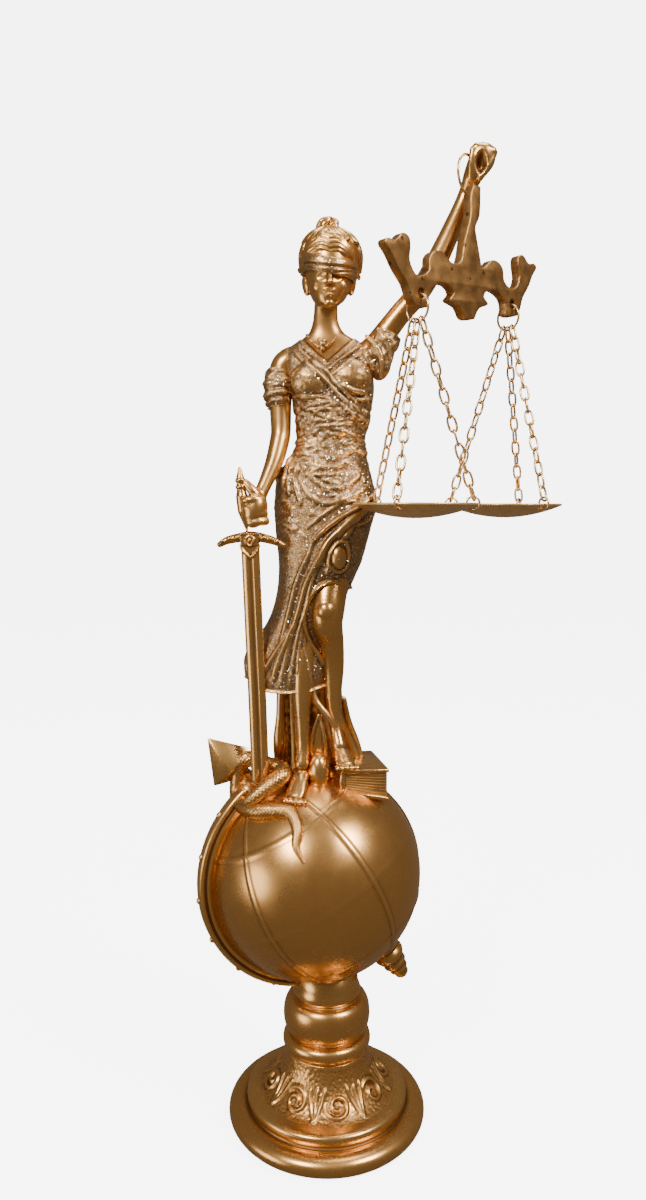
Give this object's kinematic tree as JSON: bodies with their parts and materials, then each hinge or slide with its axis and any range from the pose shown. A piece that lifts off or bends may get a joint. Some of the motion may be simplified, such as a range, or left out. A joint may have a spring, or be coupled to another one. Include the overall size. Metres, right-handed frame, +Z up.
{
  "type": "lady justice statue",
  "caption": "Gilded resin figure of justice, blindfolded, with a sword and hanging scales, standing on a globe over a turned base.",
  "frame": {"origin": "centre of the round base's underside", "axes": "+Z up, -Y towards the viewer that the figure faces, +X towards the raised arm and the scales"},
  "size_m": [0.1571, 0.0989, 0.4188],
  "materials": {
    "resin_gold": "satin gold paint with brown shade on cast resin, silver glitter on the dress",
    "beam_gold": "satin gold paint, darker and browner, on a cast beam",
    "wire_gold": "bright gold-coloured wire",
    "pan_gold": "bright gold-coloured thin sheet"
  },
  "bodies": {
    "root": {"statue": "resin_gold", "balance_beam": "beam_gold", "hanging_ring": "wire_gold", "left_ring": "wire_gold", "left_pan": "pan_gold", "left_chain_1": "wire_gold", "left_pan_ring_1": "wire_gold", "left_chain_2": "wire_gold", "left_pan_ring_2": "wire_gold", "left_chain_3": "wire_gold", "left_pan_ring_3": "wire_gold", "right_ring": "wire_gold", "right_pan": "pan_gold", "right_chain_1": "wire_gold", "right_pan_ring_1": "wire_gold", "right_chain_2": "wire_gold", "right_pan_ring_2": "wire_gold", "right_chain_3": "wire_gold", "right_pan_ring_3": "wire_gold"}
  },
  "joints": []
}
